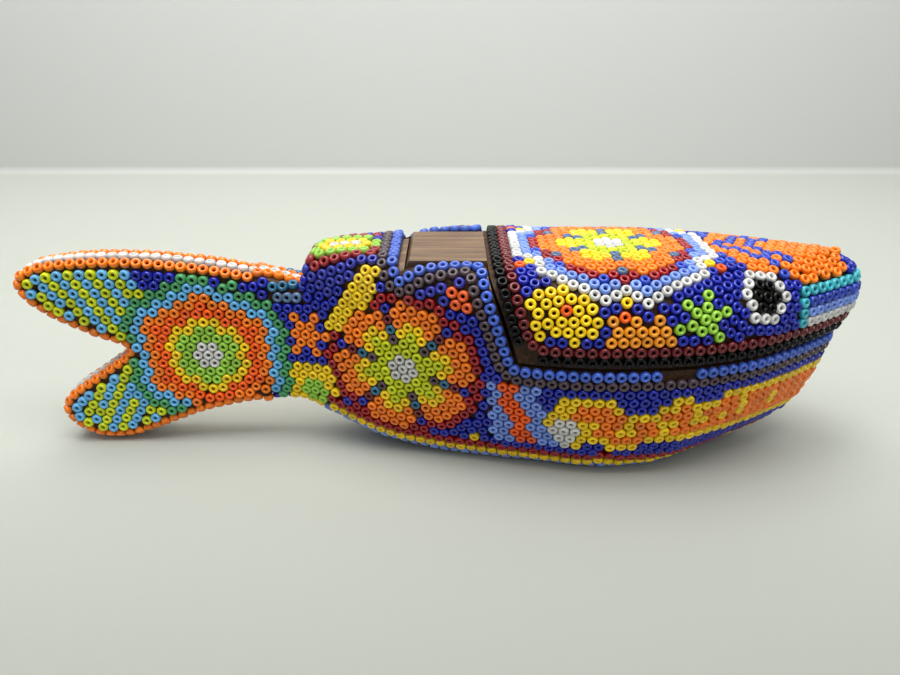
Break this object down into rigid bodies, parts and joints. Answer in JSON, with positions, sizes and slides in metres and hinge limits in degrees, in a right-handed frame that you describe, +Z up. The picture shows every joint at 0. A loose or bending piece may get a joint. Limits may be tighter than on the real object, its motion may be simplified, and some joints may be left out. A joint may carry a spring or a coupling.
{
  "type": "beaded fish box",
  "caption": "Carved wooden fish-shaped box with a hinged lid, coated in wax and covered all over with rows of small glass seed beads.",
  "frame": {"origin": "centre of the object's box in plan, at the table", "axes": "+X from tail to snout, +Z up, the fish's own right side towards -Y"},
  "size_m": [0.176, 0.045, 0.046],
  "materials": {
    "wood": "bare, matt",
    "dowel": "bare, matt",
    "wax": "dull beeswax",
    "seed_beads": "glossy opaque glass in many colours"
  },
  "bodies": {
    "base": {"base_carving": "wood", "hinge_pin": "dowel", "wax_hull": "wax", "wax_block": "wax", "wax_rump": "wax", "wax_tail": "wax", "seam_rows_right": "seed_beads", "seam_rows_left": "seed_beads", "block_front_rows_right": "seed_beads", "block_front_rows_left": "seed_beads", "side_rosette_right": "seed_beads", "side_rosette_left": "seed_beads", "zigzag_right": "seed_beads", "zigzag_left": "seed_beads", "band_field_right": "seed_beads", "band_field_left": "seed_beads", "block_side_right": "seed_beads", "block_side_left": "seed_beads", "slot_side_rows_right": "seed_beads", "slot_side_rows_left": "seed_beads", "slot_back_rows": "seed_beads", "block_top_flower": "seed_beads", "tail_root_field": "seed_beads", "belly_field": "seed_beads", "tail_rosette_right": "seed_beads", "tail_rosette_left": "seed_beads", "tail_upper_fin_right": "seed_beads", "tail_upper_fin_left": "seed_beads", "tail_lower_fin_right": "seed_beads", "tail_lower_fin_left": "seed_beads", "tail_rim_rows": "seed_beads"},
    "lid": {"lid_carving": "wood", "wax_lid": "wax", "lid_edge_rows_right": "seed_beads", "lid_edge_rows_left": "seed_beads", "lid_rear_rows": "seed_beads", "lid_flower_right": "seed_beads", "lid_flower_left": "seed_beads", "lid_crown_right": "seed_beads", "lid_crown_left": "seed_beads", "lid_star_right": "seed_beads", "lid_star_left": "seed_beads", "lid_eye_right": "seed_beads", "lid_eye_left": "seed_beads", "nose_bracket_right": "seed_beads", "nose_bracket_left": "seed_beads", "lid_top_rosette": "seed_beads", "lid_snout_top": "seed_beads"}
  },
  "joints": [
    {"name": "lid_hinge", "type": "hinge", "parent": "base", "child": "lid", "pos_m": [0.0004, 0, 0.0414], "axis": [0, -1, 0], "range_deg": [0, 95]}
  ]
}
